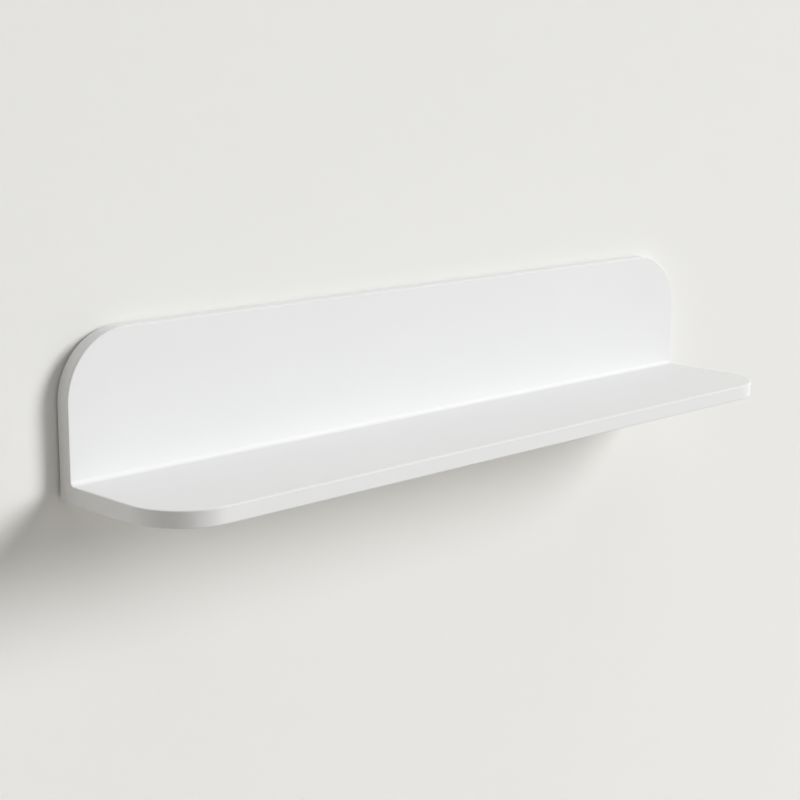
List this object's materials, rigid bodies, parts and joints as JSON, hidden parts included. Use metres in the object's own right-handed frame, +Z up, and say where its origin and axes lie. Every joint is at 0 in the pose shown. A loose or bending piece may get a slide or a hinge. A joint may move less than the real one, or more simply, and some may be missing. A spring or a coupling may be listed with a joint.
{
  "type": "floating wall shelf",
  "caption": "White lacquered display ledge: a low back panel with rounded top corners and a shallow shelf board with rounded front corners, hung unseen on wall screws by keyhole plates.",
  "frame": {"origin": "on the wall plane, midway between the two wall screws, at the height of their axes", "axes": "+X along the shelf to the right as seen from the room, +Y into the wall, +Z up"},
  "size_m": [0.6, 0.1482, 0.104],
  "materials": {
    "white_lacquer": "satin",
    "beech": "matte",
    "zinc_steel": "satin",
    "bumper": "matte"
  },
  "bodies": {
    "wall_fixing": {"wall_screws": "zinc_steel"},
    "shelf": {"back_panel": "white_lacquer", "shelf_board": "white_lacquer", "cove_bead": "white_lacquer", "joint_dowel_1": "beech", "joint_dowel_2": "beech", "joint_dowel_3": "beech", "joint_dowel_4": "beech", "joint_dowel_5": "beech", "joint_dowel_6": "beech", "joint_screws": "zinc_steel", "hanger_plate_left": "zinc_steel", "hanger_plate_right": "zinc_steel", "hanger_screws": "zinc_steel", "wall_bumper_1": "bumper", "wall_bumper_2": "bumper", "wall_bumper_3": "bumper", "wall_bumper_4": "bumper"}
  },
  "joints": [
    {"name": "shelf_lift", "type": "slide", "parent": "wall_fixing", "child": "shelf", "axis": [0, 0, 1], "range_m": [0, 0.01]}
  ]
}
